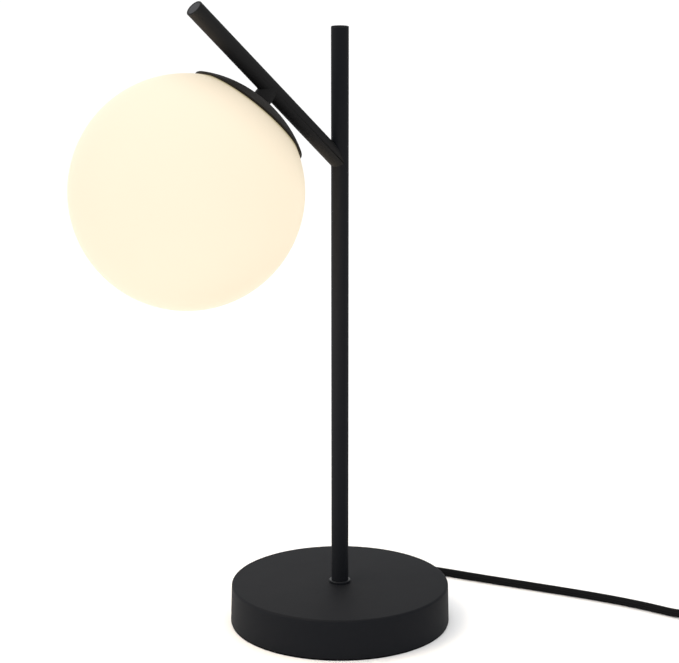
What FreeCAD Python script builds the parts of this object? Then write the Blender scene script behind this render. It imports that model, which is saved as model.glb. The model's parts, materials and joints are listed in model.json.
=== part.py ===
import FreeCAD, Part
import math
import os
from FreeCAD import Vector

# Glass globe table lamp. Millimetres, origin at the centre of the base on the table, +Z up.
# The arm leans towards -X in the XZ plane and carries an opal globe under it, on an axis square to the arm.

# ---- driving dimensions -------------------------------------------------------------------------------
BASE_RADIUS = 80.5
BASE_TOP_RADIUS = 79.7
BASE_HEIGHT = 30.0
BASE_TOP_ROUND = 1.8
COVER_WALL = 1.5
COVER_FOOT = 1.2
PAD_RADIUS = 80.0
PAD_THICK = 1.2
PLATE_RADIUS = 78.3
PLATE_THICK = 2.0
WEIGHT_RADIUS = 70.0
WEIGHT_THICK = 16.0
WEIGHT_RECESS_RADIUS = 12.0
WEIGHT_RECESS_DEEP = 10.0
BOSS_RADIUS = 6.0
BOSS_PITCH_RADIUS = 55.0
BOSS_ANGLES = (30.0, 150.0, 270.0)

TUBE_RADIUS = 6.25
TUBE_WALL = 1.0
POLE_TOP = 438.5
COLLAR_RADIUS = 7.8
COLLAR_THICK = 2.0
BUSH_LONG = 20.0
STUD_RADIUS = 4.0
STUD_BORE = 2.8
STUD_BOTTOM = 13.5

ARM_START = 343.0
ARM_TILT = 45.0
ARM_LONG = 162.0
KNUCKLE_ALONG_ARM = 79.5
KNUCKLE_RADIUS = 6.8
KNUCKLE_PAST_AXIS = 1.0
PLUG_THICK = 3.5
PLUG_SUNK = 0.2

GLOBE_RADIUS = 80.5
GLASS_WALL = 2.5
GLOBE_DROP = 93.25
MOUTH_RADIUS = 24.0
MOUTH_FLAT = 20.5
NECK_END = 29.5
CAP_OUTER_RADIUS = 82.6
CAP_WALL = 1.6
CAP_HALF_ANGLE = 34.1

GALLERY_TOP = 17.0
GALLERY_RADIUS = 22.0
GALLERY_SHEET = 1.2
GALLERY_END = 28.0
CLIP_REACH = 23.7
HEX_ACROSS_FLATS = 13.0

HOLDER_TOP = 22.7
HOLDER_JOINT = 38.0
HOLDER_END = 62.0
HOLDER_RADIUS = 14.0
HOLDER_INNER = 12.0
HOLDER_FLOOR = 34.0
HOLDER_FLOOR_THICK = 3.0
SHELL_OUTER = 8.2
SHELL_INNER = 7.3
PIN_OFFSET = 4.5

BULB_CAP_RADIUS = 6.95
BULB_CAP_START = 43.3
BULB_BODY_START = 62.8
BULB_RADIUS = 22.5
BULB_SEAM = 82.25

LEAD_RADIUS = 1.0
LEAD_OFFSET = 1.15
LEAD_BEND = 1.6

CORD_RADIUS = 3.0
EXIT_HEIGHT = 8.5
GROMMET_START = 71.0
GROMMET_END = 92.0
GROMMET_RADIUS = 5.0
GROMMET_TIP_RADIUS = 3.5
GROMMET_GROOVE = 4.2
CLAMP_MIDDLE = 60.0
CLAMP_HALF = 4.0
CLAMP_EAR = 11.0
CLAMP_EAR_TOP = 7.0
CLAMP_SCREW_SIDE = 7.6
BLOCK_START = 24.0
BLOCK_END = 46.0
BLOCK_HALF = 9.0
BLOCK_TOP = 11.0

SWITCH_LONG = 56.0
SWITCH_WIDE = 26.0
SWITCH_HIGH = 15.0
SWITCH_SPLIT = 7.3
SWITCH_WALL = 2.0
SWITCH_CORNER = 9.0
SCREW_SIDE = 19.5
SCREW_BOSS = 3.4
GLAND_LONG = 10.0
SWITCH_CENTRE = (273.6, -176.3)
SWITCH_HEADING = -35.0
ROCKER_LONG = 16.0
ROCKER_WIDE = 10.4
ROCKER_PIVOT = 9.5
ROCKER_TILT = 9.0
ROCKER_HOLE_LONG = 18.8
ROCKER_HOLE_WIDE = 11.0

PLUG_TIP = (365.0, -80.0)
PLUG_HEADING = 110.0
PLUG_AXIS = 7.0
PLUG_WIDE = 35.0
PLUG_HIGH = 14.0
PLUG_RELIEF_LONG = 22.0
PLUG_BODY_LONG = 32.0
PIN_RADIUS = 2.0
PIN_LONG = 19.0
PIN_SPACING = 18.6
PIN_ROOT_RADIUS = 1.7
PIN_ROOT_DEEP = 8.0
PIN_ROOT_PROUD = 0.5

COIL_CENTRE = (332.5, -138.5)
COIL_INNER = 27.5
COIL_PITCH = 6.7
COIL_TURNS_PER_LAYER = 2.25
COIL_LOW = 4.2
COIL_LAYER = 6.6
COIL_DIP = 1.9
TIE_WIDE = 9.0
TIE_THICK = 0.8
TIE_ANGLE = 50.0

# The cord's free stretches, as hand-chosen corners of the route (x, y, z).
CORD_ROUTE = [
    (0.0, 92.0, 8.5), (0.0, 104.0, 8.5), (5.8, 120.0, 6.6), (19.0, 131.0, 4.4), (35.8, 133.9, 3.3),
    (52.4, 128.8, 3.0), (71.0, 108.5, 3.0), (87.5, 82.5, 3.0), (101.0, 62.0, 3.0), (117.0, 40.5, 3.0),
    (131.0, 17.5, 3.0), (144.0, -2.4, 3.0), (166.6, -36.6, 3.0), (188.2, -70.6, 3.0), (204.8, -101.6, 3.0),
    (217.4, -133.6, 3.0), (231.004, -146.474, 7.3), (242.472, -154.504, 7.3)]
LINK_ROUTE = [
    (304.728, -198.096, 7.3), (316.196, -206.126, 7.3), (334.0, -211.1, 5.4), (353.1, -207.1, 3.8),
    (367.1, -194.9, 3.6), (373.5, -177.0, 3.9), (375.075, -159.5, 4.2), (375.075, -144.5, 4.2)]
TAIL_ROUTE = [
    (375.075, -132.5, 10.8), (375.075, -117.5, 10.8), (373.8, -104.5, 8.6), (369.788, -93.156, 7.0),
    (365.0, -80.0, 7.0)]

# ---- derived places -----------------------------------------------------------------------------------
UP = Vector(0, 0, 1)
ARM_DIRECTION = Vector(-math.sin(math.radians(ARM_TILT)), 0, math.cos(math.radians(ARM_TILT)))
DROP_DIRECTION = Vector(-ARM_DIRECTION.z, 0, ARM_DIRECTION.x)
ARM_ORIGIN = Vector(0, 0, ARM_START)
KNUCKLE_POINT = ARM_ORIGIN + ARM_DIRECTION * KNUCKLE_ALONG_ARM
EXIT_DIRECTION = Vector(0, 1, 0)
COVER_INNER_TOP = BASE_HEIGHT - COVER_WALL
WEIGHT_BOTTOM = COVER_INNER_TOP - WEIGHT_THICK
PLATE_TOP = PAD_THICK + PLATE_THICK
POLE_FOOT = BASE_HEIGHT + COLLAR_THICK
RECESS_TOP = WEIGHT_BOTTOM + WEIGHT_RECESS_DEEP
TUBE_INNER = TUBE_RADIUS - TUBE_WALL


# ---- small helpers ------------------------------------------------------------------------------------
def outline(start, *steps):
    """A closed face in the XZ plane. A step is a point (r, z), or a pair (middle, end) for an arc."""
    def vec(p):
        return Vector(p[0], 0, p[1])
    edges = []
    here = vec(start)
    for step in steps:
        if isinstance(step[0], tuple):
            edges.append(Part.Arc(here, vec(step[0]), vec(step[1])).toShape())
            here = vec(step[1])
        else:
            edges.append(Part.LineSegment(here, vec(step)).toShape())
            here = vec(step)
    if (here - vec(start)).Length > 1e-6:
        edges.append(Part.LineSegment(here, vec(start)).toShape())
    return Part.Face(Part.Wire(edges))


def turned(start, *steps):
    """The solid that the outline sweeps once round Z."""
    return outline(start, *steps).revolve(Vector(0, 0, 0), UP, 360)


def rod(radius, bottom, top, bore=0.0):
    solid = Part.makeCylinder(radius, top - bottom, Vector(0, 0, bottom))
    if bore > 0:
        solid = solid.cut(Part.makeCylinder(bore, top - bottom + 2, Vector(0, 0, bottom - 1)))
    return solid


def place(shape, origin, direction):
    """Turns a shape that is modelled along Z so that it runs along direction from origin."""
    moved = shape.copy()
    moved.Placement = FreeCAD.Placement(origin, FreeCAD.Rotation(UP, direction))
    return moved


def on_drop(shape):
    """From distances below the arm's axis to the globe's slanted axis."""
    return place(shape, KNUCKLE_POINT, DROP_DIRECTION)


def on_arm(shape):
    return place(shape, ARM_ORIGIN, ARM_DIRECTION)


def on_exit(shape):
    return place(shape, Vector(0, 0, EXIT_HEIGHT), EXIT_DIRECTION)


def on_table(shape, centre, heading, height=0.0):
    """Lays a piece that is modelled along X on the table at a heading in degrees."""
    moved = shape.copy()
    turn = FreeCAD.Rotation(UP, heading)
    moved.Placement = FreeCAD.Placement(Vector(centre[0], centre[1], height), turn)
    return moved


def along_x(shape):
    """Lays a turned piece from Z over to X."""
    moved = shape.copy()
    moved.Placement = FreeCAD.Placement(Vector(0, 0, 0), FreeCAD.Rotation(UP, Vector(1, 0, 0)))
    return moved


def hexagon(bottom, top, bore):
    corner = HEX_ACROSS_FLATS / 2 / math.cos(math.radians(30))
    points = [Vector(corner * math.cos(math.radians(a)), corner * math.sin(math.radians(a)), bottom)
              for a in range(0, 361, 60)]
    solid = Part.Face(Part.makePolygon(points)).extrude(UP * (top - bottom))
    return solid.cut(rod(bore, bottom - 1, top + 1))


def box(x0, x1, y0, y1, z0, z1):
    return Part.makeBox(x1 - x0, y1 - y0, z1 - z0, Vector(x0, y0, z0))


def rounded_slab(long, wide, corner, z0, z1):
    slab = box(-long / 2, long / 2, -wide / 2, wide / 2, z0, z1)
    upright = [e for e in slab.Edges if abs(e.Vertexes[0].Z - e.Vertexes[1].Z) > (z1 - z0) / 2]
    return slab.makeFillet(corner, upright)


def polar(radius, degrees, z=0.0):
    return Vector(radius * math.cos(math.radians(degrees)), radius * math.sin(math.radians(degrees)), z)


def export(name, shape):
    for solid in shape.Solids:
        if not solid.isValid() or solid.Volume <= 0:
            print("BAD SOLID", name)
    shape.exportStep(f"parts/{name}.step")
    print(f"{name}: {len(shape.Solids)} solid(s), {shape.Volume / 1000:.2f} cm3")


# ---- tubes along routes -------------------------------------------------------------------------------
def rounded_path(points, name, bend=None):
    """Straight runs joined by tangent arcs. Without a bend radius each arc is as large as its runs allow."""
    points = [Vector(*p) for p in points]
    edges = []
    radii = []
    here = points[0]
    for before, corner, after in zip(points, points[1:], points[2:]):
        run_in = corner - before
        run_out = after - corner
        half = run_in.getAngle(run_out) / 2
        radius = bend or 0.45 * min(run_in.Length, run_out.Length) / math.tan(half)
        reach = radius * math.tan(half)
        unit_in = run_in * (1 / run_in.Length)
        unit_out = run_out * (1 / run_out.Length)
        inward = (unit_out - unit_in).normalize()
        first = corner - unit_in * reach
        last = corner + unit_out * reach
        middle = corner + inward * (radius / math.cos(half) - radius)
        edges.append(Part.LineSegment(here, first).toShape())
        edges.append(Part.Arc(first, middle, last).toShape())
        radii.append(round(radius, 1))
        here = last
    edges.append(Part.LineSegment(here, points[-1]).toShape())
    print(f"{name}: bend radii {radii}")
    return Part.Wire(edges)


def pipe(path, radius, name):
    """A round tube along a path, with its volume set against section times length."""
    first = path.Edges[0]
    start = path.OrderedVertexes[0].Point
    tangent = first.tangentAt(first.FirstParameter)
    ring = Part.Wire(Part.makeCircle(radius, start, tangent))
    solid = path.makePipeShell([ring], True, False)
    expected = math.pi * radius ** 2 * path.Length
    print(f"{name}: length {path.Length:.1f} mm, volume / section x length {solid.Volume / expected:.4f}")
    return solid


def arc_from(start, tangent, end):
    """The arc that leaves start along tangent and reaches end."""
    chord = end - start
    unit = chord * (1 / chord.Length)
    side = tangent - unit * tangent.dot(unit)
    swing = tangent.getAngle(chord)
    middle = start + chord * 0.5 + side.normalize() * (chord.Length / 2 * math.tan(swing / 2))
    return Part.Arc(start, middle, end).toShape()


def arc_into(start, end, tangent):
    """The arc from start that arrives at end along tangent."""
    back = arc_from(end, tangent * -1, start)
    curve = back.Curve
    middle = curve.value((back.FirstParameter + back.LastParameter) / 2)
    return Part.Arc(start, middle, end).toShape()


def biarc(start, start_tangent, end, end_tangent):
    gap = end - start
    total = start_tangent + end_tangent
    spread = 2 * (1 - start_tangent.dot(end_tangent))
    along = gap.dot(total)
    reach = (-along + math.sqrt(along ** 2 + spread * gap.dot(gap))) / spread
    joint = (start + end + (start_tangent - end_tangent) * reach) * 0.5
    return [arc_from(start, start_tangent, joint), arc_into(joint, end, end_tangent)]


# ---- base ---------------------------------------------------------------------------------------------
def base_cover():
    top_flat = BASE_TOP_RADIUS - BASE_TOP_ROUND
    corner = BASE_TOP_ROUND * math.sin(math.radians(45))
    inner_round = BASE_TOP_ROUND - COVER_WALL
    inner_corner = inner_round * math.sin(math.radians(45))
    inner_bottom = BASE_RADIUS - COVER_WALL
    inner_side = BASE_TOP_RADIUS - COVER_WALL
    shell = turned(
        (STUD_RADIUS, BASE_HEIGHT), (top_flat, BASE_HEIGHT),
        ((top_flat + corner, BASE_HEIGHT - BASE_TOP_ROUND + corner), (BASE_TOP_RADIUS, BASE_HEIGHT - BASE_TOP_ROUND)),
        (BASE_RADIUS, COVER_FOOT + 1.0), (BASE_RADIUS - 0.7, COVER_FOOT), (inner_bottom, COVER_FOOT),
        (inner_side, BASE_HEIGHT - BASE_TOP_ROUND),
        ((top_flat + inner_corner, COVER_INNER_TOP - inner_round + inner_corner), (top_flat, COVER_INNER_TOP)),
        (STUD_RADIUS, COVER_INNER_TOP))
    return shell.cut(on_exit(rod(GROMMET_GROOVE, 60.0, 100.0)))


def base_weight():
    weight = rod(WEIGHT_RADIUS, WEIGHT_BOTTOM, COVER_INNER_TOP, STUD_RADIUS)
    weight = weight.cut(rod(WEIGHT_RECESS_RADIUS, WEIGHT_BOTTOM - 1, RECESS_TOP))
    for angle in BOSS_ANGLES:
        boss = rod(BOSS_RADIUS, PLATE_TOP, WEIGHT_BOTTOM + 1)
        boss.translate(polar(BOSS_PITCH_RADIUS, angle))
        weight = weight.fuse(boss)
    for angle in BOSS_ANGLES:
        hole = rod(1.5, PLATE_TOP - 1, 10.0)
        hole.translate(polar(BOSS_PITCH_RADIUS, angle))
        weight = weight.cut(hole)
    return weight.removeSplitter()


def plate_screw():
    return turned((0, PAD_THICK), (3.0, PAD_THICK), (1.5, PAD_THICK + 1.5), (1.5, 10.0), (0, 10.0))


def plate_screws():
    screws = []
    for angle in BOSS_ANGLES:
        screw = plate_screw()
        screw.translate(polar(BOSS_PITCH_RADIUS, angle))
        screws.append(screw)
    return screws


def base_plate():
    plate = rod(PLATE_RADIUS, PAD_THICK, PLATE_TOP)
    for screw in plate_screws():
        plate = plate.cut(screw)
    for screw in clamp_screws():
        plate = plate.cut(screw)
    return plate


def foot_pad():
    return rod(PAD_RADIUS, 0, PAD_THICK)


def cord_grommet():
    wall_in = BASE_RADIUS - COVER_WALL - 0.75
    wall_out = BASE_RADIUS
    return on_exit(turned(
        (0, GROMMET_START), (GROMMET_RADIUS, GROMMET_START), (GROMMET_RADIUS, wall_in), (GROMMET_GROOVE, wall_in),
        (GROMMET_GROOVE, wall_out), (GROMMET_RADIUS, wall_out), (GROMMET_RADIUS, wall_out + 1.5),
        (GROMMET_TIP_RADIUS, GROMMET_END), (0, GROMMET_END)))


def inner_cord():
    return on_exit(rod(CORD_RADIUS, BLOCK_END, GROMMET_START))


def cord_clamp():
    ears = box(-CLAMP_EAR, CLAMP_EAR, CLAMP_MIDDLE - CLAMP_HALF, CLAMP_MIDDLE + CLAMP_HALF, PLATE_TOP, CLAMP_EAR_TOP)
    saddle = on_exit(rod(CORD_RADIUS + 0.9, CLAMP_MIDDLE - CLAMP_HALF, CLAMP_MIDDLE + CLAMP_HALF))
    clamp = ears.fuse(saddle).cut(on_exit(rod(CORD_RADIUS, CLAMP_MIDDLE - 10, CLAMP_MIDDLE + 10)))
    for screw in clamp_screws():
        clamp = clamp.cut(screw)
    return clamp.removeSplitter()


def clamp_screws():
    screws = []
    for side in (-CLAMP_SCREW_SIDE, CLAMP_SCREW_SIDE):
        screw = turned((0, 1.6), (1.3, 1.6), (1.3, CLAMP_EAR_TOP), (2.6, CLAMP_EAR_TOP), (2.6, 8.2), (0, 9.0))
        screw.translate(Vector(side, CLAMP_MIDDLE, 0))
        screws.append(screw)
    return screws


def terminal_screws():
    screws = []
    for x in (-4.0, 4.0):
        for y in (BLOCK_START + 5, BLOCK_END - 5):
            screw = turned((0, EXIT_HEIGHT + 0.2), (1.3, EXIT_HEIGHT + 0.2), (1.3, BLOCK_TOP), (1.9, BLOCK_TOP),
                           (1.9, BLOCK_TOP + 0.8), (0, BLOCK_TOP + 0.8))
            screw.translate(Vector(x, y, 0))
            screws.append(screw)
    return screws


def terminal_block():
    block = box(-BLOCK_HALF, BLOCK_HALF, BLOCK_START, BLOCK_END, PLATE_TOP, BLOCK_TOP)
    for screw in terminal_screws():
        block = block.cut(screw)
    return block


# ---- pole and arm -------------------------------------------------------------------------------------
def pole_collar():
    top = BASE_HEIGHT + COLLAR_THICK
    return turned((STUD_RADIUS, BASE_HEIGHT), (COLLAR_RADIUS, BASE_HEIGHT), (COLLAR_RADIUS, top - 0.4),
                  (COLLAR_RADIUS - 0.4, top), (STUD_RADIUS, top))


def pole_tube():
    tube = turned((TUBE_INNER, POLE_FOOT), (TUBE_RADIUS, POLE_FOOT), (TUBE_RADIUS, POLE_TOP - 0.4),
                  (TUBE_RADIUS - 0.4, POLE_TOP), (TUBE_INNER, POLE_TOP))
    return tube.cut(on_arm(rod(TUBE_INNER - 0.6, 0, 20)))


def pole_bush():
    return rod(TUBE_INNER, POLE_FOOT, POLE_FOOT + BUSH_LONG, STUD_RADIUS)


def pole_stud():
    return rod(STUD_RADIUS, STUD_BOTTOM, POLE_FOOT + BUSH_LONG - 2, STUD_BORE)


def pole_washer():
    return rod(10.0, RECESS_TOP - 1.6, RECESS_TOP, STUD_RADIUS)


def pole_nut():
    return hexagon(RECESS_TOP - 1.6 - 6.5, RECESS_TOP - 1.6, STUD_RADIUS)


def end_plug(face):
    """A flush plug for a tube's end, sunk a hair below its face."""
    top = face - PLUG_SUNK
    return turned((0, top - PLUG_THICK), (TUBE_INNER, top - PLUG_THICK), (TUBE_INNER, top - 0.3),
                  (TUBE_INNER - 0.3, top), (0, top))


def arm_tube():
    tube = turned((TUBE_INNER, 0), (TUBE_RADIUS, 0), (TUBE_RADIUS, ARM_LONG - 0.4), (TUBE_RADIUS - 0.4, ARM_LONG),
                  (TUBE_INNER, ARM_LONG))
    arm = on_arm(tube).cut(rod(TUBE_RADIUS, 200, POLE_TOP + 50))
    return arm.cut(on_drop(rod(STUD_RADIUS, 0, 12)))


def sphere_round_globe(radius):
    return Part.makeSphere(radius, Vector(0, 0, GLOBE_DROP))


def arm_knuckle():
    body = rod(KNUCKLE_RADIUS, -KNUCKLE_PAST_AXIS, 14.0)
    body = body.cut(sphere_round_globe(CAP_OUTER_RADIUS))
    body = on_drop(body).cut(on_arm(rod(TUBE_RADIUS, 40, 120)))
    return body.cut(on_drop(rod(STUD_RADIUS, -4, 20)))


# ---- cap, globe and what carries it -------------------------------------------------------------------
def on_sphere(radius, degrees):
    """(distance from the globe's axis, distance below the arm) at an angle from the top of a sphere."""
    angle = math.radians(degrees)
    return (radius * math.sin(angle), GLOBE_DROP - radius * math.cos(angle))


def shade_cap():
    inner = CAP_OUTER_RADIUS - CAP_WALL
    outer_start = math.degrees(math.asin(STUD_RADIUS / CAP_OUTER_RADIUS))
    inner_start = math.degrees(math.asin(STUD_RADIUS / inner))
    middle = CAP_HALF_ANGLE / 2
    return on_drop(turned(
        on_sphere(CAP_OUTER_RADIUS, outer_start),
        (on_sphere(CAP_OUTER_RADIUS, middle), on_sphere(CAP_OUTER_RADIUS, CAP_HALF_ANGLE)),
        on_sphere(inner, CAP_HALF_ANGLE), (on_sphere(inner, middle), on_sphere(inner, inner_start))))


def glass_globe():
    inner = GLOBE_RADIUS - GLASS_WALL
    shoulder = MOUTH_FLAT + GLASS_WALL
    outer_angle = math.degrees(math.acos((GLOBE_DROP - MOUTH_FLAT) / GLOBE_RADIUS))
    inner_angle = math.degrees(math.acos((GLOBE_DROP - shoulder) / inner))
    neck_outer = MOUTH_RADIUS + GLASS_WALL
    return on_drop(turned(
        on_sphere(GLOBE_RADIUS, 180),
        (on_sphere(GLOBE_RADIUS, 90), on_sphere(GLOBE_RADIUS, outer_angle)),
        (MOUTH_RADIUS + 1, MOUTH_FLAT), (MOUTH_RADIUS, MOUTH_FLAT + 1), (MOUTH_RADIUS, NECK_END),
        (neck_outer, NECK_END), (neck_outer, shoulder), on_sphere(inner, inner_angle),
        (on_sphere(inner, 90), on_sphere(inner, 180))))


def neck_gasket():
    return on_drop(rod(31.0, 19.3, MOUTH_FLAT - 0.3, 25.5))


def knuckle_nipple():
    return on_drop(rod(STUD_RADIUS, TUBE_RADIUS + 0.3, HOLDER_TOP + 3.5, STUD_BORE))


def globe_gallery():
    sheet_end = GALLERY_TOP + GALLERY_SHEET
    cup = turned((STUD_RADIUS, 12.0), (9.0, 12.0), (9.0, GALLERY_TOP), (GALLERY_RADIUS, GALLERY_TOP),
                 (GALLERY_RADIUS, GALLERY_END), (GALLERY_RADIUS - GALLERY_SHEET, GALLERY_END),
                 (GALLERY_RADIUS - GALLERY_SHEET, sheet_end), (STUD_RADIUS, sheet_end))
    return on_drop(cup.common(sphere_round_globe(CAP_OUTER_RADIUS - CAP_WALL)))


def gallery_clips():
    """Three crescent leaf springs that grip the inside of the glass neck."""
    high = 19.5
    low = 27.5
    middle = (high + low) / 2
    clips = []
    for angle in (0, 120, 240):
        leaf = outline((GALLERY_RADIUS, high), ((CLIP_REACH, middle), (GALLERY_RADIUS, low)),
                       ((CLIP_REACH - 0.5, middle), (GALLERY_RADIUS, high)))
        leaf.rotate(Vector(0, 0, 0), UP, angle - 10)
        clips.append(on_drop(leaf.revolve(Vector(0, 0, 0), UP, 20)))
    return clips


def gallery_nut():
    return on_drop(hexagon(GALLERY_TOP + GALLERY_SHEET, HOLDER_TOP, STUD_RADIUS))


# ---- lamp holder and bulb -----------------------------------------------------------------------------
def holder_cup():
    return on_drop(turned(
        (STUD_RADIUS, HOLDER_TOP), (HOLDER_RADIUS - 2, HOLDER_TOP),
        ((HOLDER_RADIUS - 0.6, HOLDER_TOP + 0.6), (HOLDER_RADIUS, HOLDER_TOP + 2)), (HOLDER_RADIUS, HOLDER_JOINT),
        (HOLDER_INNER, HOLDER_JOINT), (HOLDER_INNER, HOLDER_TOP + 3), (STUD_RADIUS, HOLDER_TOP + 3)))


def contact_pin(side):
    pin = rod(0.9, HOLDER_FLOOR - 0.4, HOLDER_FLOOR + HOLDER_FLOOR_THICK)
    pin.translate(Vector(0, side * PIN_OFFSET, 0))
    return pin


def holder_sleeve():
    below = HOLDER_FLOOR + HOLDER_FLOOR_THICK
    sleeve = turned((0, HOLDER_FLOOR), (HOLDER_INNER, HOLDER_FLOOR), (HOLDER_INNER, HOLDER_JOINT),
                    (HOLDER_RADIUS, HOLDER_JOINT), (HOLDER_RADIUS, HOLDER_END - 1), (HOLDER_RADIUS - 1, HOLDER_END),
                    (SHELL_OUTER, HOLDER_END), (SHELL_OUTER, below), (0, below))
    for side in (-1, 1):
        sleeve = sleeve.cut(contact_pin(side))
    return on_drop(sleeve)


def holder_shell():
    below = HOLDER_FLOOR + HOLDER_FLOOR_THICK
    shell = rod(SHELL_OUTER, below, HOLDER_END - 2, SHELL_INNER)
    strip = box(-1.2, 1.2, -7.8, -3.6, below, below + 0.6)
    return on_drop(shell.fuse(strip).fuse(contact_pin(-1)).removeSplitter())


def holder_contact():
    below = HOLDER_FLOOR + HOLDER_FLOOR_THICK
    strip = box(-1.2, 1.2, -2.0, 5.4, below, below + 0.6)
    button = rod(2.2, below + 0.6, below + 2.4)
    return on_drop(strip.fuse(button).fuse(contact_pin(1)).removeSplitter())


def bulb_tip():
    return on_drop(turned((0, 39.7), (1.6, 39.7), (2.4, 40.5), (2.4, 41.2), (5.8, 43.0), (0, 43.0)))


def bulb_cap():
    bore = BULB_CAP_RADIUS - 0.5
    return on_drop(turned((0, BULB_CAP_START), (BULB_CAP_RADIUS - 1, BULB_CAP_START),
                          (BULB_CAP_RADIUS, BULB_CAP_START + 1.5), (BULB_CAP_RADIUS, BULB_BODY_START),
                          (bore, BULB_BODY_START), (bore, BULB_CAP_START + 1), (0, BULB_CAP_START + 1)))


def bulb_seam_radius():
    return math.sqrt(BULB_RADIUS ** 2 - (GLOBE_DROP - BULB_SEAM) ** 2)


def bulb_body():
    seam = bulb_seam_radius()
    return on_drop(turned((0, BULB_BODY_START), (12.0, BULB_BODY_START), (13.2, BULB_BODY_START + 1.5),
                          ((15.2, 72.5), (seam, BULB_SEAM)), (0, BULB_SEAM)))


def bulb_globe():
    inner = BULB_RADIUS - 1.0
    seam = bulb_seam_radius()
    inner_seam = math.sqrt(inner ** 2 - (GLOBE_DROP - BULB_SEAM) ** 2)
    far = (GLOBE_DROP + BULB_RADIUS)
    return on_drop(turned((0, far), ((BULB_RADIUS, GLOBE_DROP), (seam, BULB_SEAM)), (inner_seam, BULB_SEAM),
                          ((inner, GLOBE_DROP), (0, far - 1.0))))


# ---- leads --------------------------------------------------------------------------------------------
def lead(side, name):
    def below_arm(drop, across):
        point = KNUCKLE_POINT + DROP_DIRECTION * drop
        return (point.x, across, point.z)
    across = side * LEAD_OFFSET
    route = [(side * 4.0, BLOCK_START, EXIT_HEIGHT - 0.4), (side * 4.0, BLOCK_START - 8, EXIT_HEIGHT - 0.4),
             (0.0, across, EXIT_HEIGHT - 0.4 if side > 0 else EXIT_HEIGHT - 3.0), (0.0, across, ARM_START),
             (KNUCKLE_POINT.x, across, KNUCKLE_POINT.z),
             below_arm(26.8, across), below_arm(30.6, side * PIN_OFFSET), below_arm(HOLDER_FLOOR - 0.4, side * PIN_OFFSET)]
    return pipe(rounded_path(route, name, bend=LEAD_BEND), LEAD_RADIUS, name)


# ---- in-line switch -----------------------------------------------------------------------------------
def rocker_hole(z0, z1):
    return box(-ROCKER_HOLE_LONG / 2, ROCKER_HOLE_LONG / 2, -ROCKER_HOLE_WIDE / 2, ROCKER_HOLE_WIDE / 2, z0, z1)


def switch_screw(x):
    screw = turned((0, 0.5), (2.6, 0.5), (1.3, 1.8), (1.3, 12.0), (0, 12.0))
    screw.translate(Vector(x, 0, 0))
    return screw


def switch_base():
    case = rounded_slab(SWITCH_LONG, SWITCH_WIDE, SWITCH_CORNER, 0, SWITCH_SPLIT)
    case = case.makeFillet(1.5, [e for e in case.Edges if abs(e.BoundBox.ZMax) < 1e-6])
    room = rounded_slab(SWITCH_LONG - 2 * SWITCH_WALL, SWITCH_WIDE - 2 * SWITCH_WALL,
                        SWITCH_CORNER - SWITCH_WALL, SWITCH_WALL, SWITCH_SPLIT + 1)
    case = case.cut(room)
    for x in (-SCREW_SIDE, SCREW_SIDE):
        boss = rod(SCREW_BOSS, SWITCH_WALL - 0.5, SWITCH_SPLIT)
        boss.translate(Vector(x, 0, 0))
        case = case.fuse(boss).cut(switch_screw(x))
    return case.removeSplitter()


def switch_top():
    case = rounded_slab(SWITCH_LONG, SWITCH_WIDE, SWITCH_CORNER, SWITCH_SPLIT, SWITCH_HIGH)
    case = case.makeFillet(3.0, [e for e in case.Edges if e.BoundBox.ZMin > SWITCH_HIGH - 1e-6])
    room = rounded_slab(SWITCH_LONG - 2 * SWITCH_WALL, SWITCH_WIDE - 2 * SWITCH_WALL,
                        SWITCH_CORNER - SWITCH_WALL, SWITCH_SPLIT - 1, SWITCH_HIGH - SWITCH_WALL)
    case = case.cut(room).cut(rocker_hole(SWITCH_SPLIT, SWITCH_HIGH + 1))
    for x in (-SCREW_SIDE, SCREW_SIDE):
        boss = rod(SCREW_BOSS, SWITCH_SPLIT, SWITCH_HIGH - SWITCH_WALL + 0.5)
        boss.translate(Vector(x, 0, 0))
        case = case.fuse(boss).cut(switch_screw(x))
    return case.removeSplitter()


def switch_rocker():
    half = ROCKER_LONG / 2
    lift = 6.6
    profile = outline((-half, -2.5), (half, -2.5), (half, lift), ((0, lift - 1.2), (-half, lift)), (-half, -2.5))
    rocker = profile.extrude(Vector(0, ROCKER_WIDE, 0))
    rocker.translate(Vector(0, -ROCKER_WIDE / 2, 0))
    bore = Part.makeCylinder(1.1, 20, Vector(0, -10, 0), Vector(0, 1, 0))
    rocker = rocker.cut(bore)
    rocker.rotate(Vector(0, 0, 0), Vector(0, 1, 0), ROCKER_TILT)
    rocker.translate(Vector(0, 0, ROCKER_PIVOT))
    return rocker


def rocker_pin():
    long = SWITCH_WIDE - 2 * SWITCH_WALL
    return Part.makeCylinder(1.0, long, Vector(0, -long / 2, ROCKER_PIVOT), Vector(0, 1, 0))


def switch_contacts():
    """Two spring strips under the rocker, standing on the floor of the case."""
    strips = []
    for side in (-1, 1):
        foot = box(side * 6 - 3, side * 6 + 3, -3, 3, SWITCH_WALL, SWITCH_WALL + 0.6)
        post = box(side * 6 - 0.4, side * 6 + 0.4, -3, 3, SWITCH_WALL, 4.6)
        strips.append(foot.fuse(post).removeSplitter())
    return strips


def switch_glands():
    """The tapered sleeves at both ends of the switch, met face to face by the cord."""
    glands = []
    for turn in (0, 180):
        sleeve = along_x(turned((0, 0), (4.6, 0), (4.6, 1.5), (3.4, GLAND_LONG), (0, GLAND_LONG)))
        sleeve.translate(Vector(SWITCH_LONG / 2, 0, SWITCH_SPLIT))
        sleeve.rotate(Vector(0, 0, 0), UP, turn)
        glands.append(sleeve)
    return glands


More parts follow.
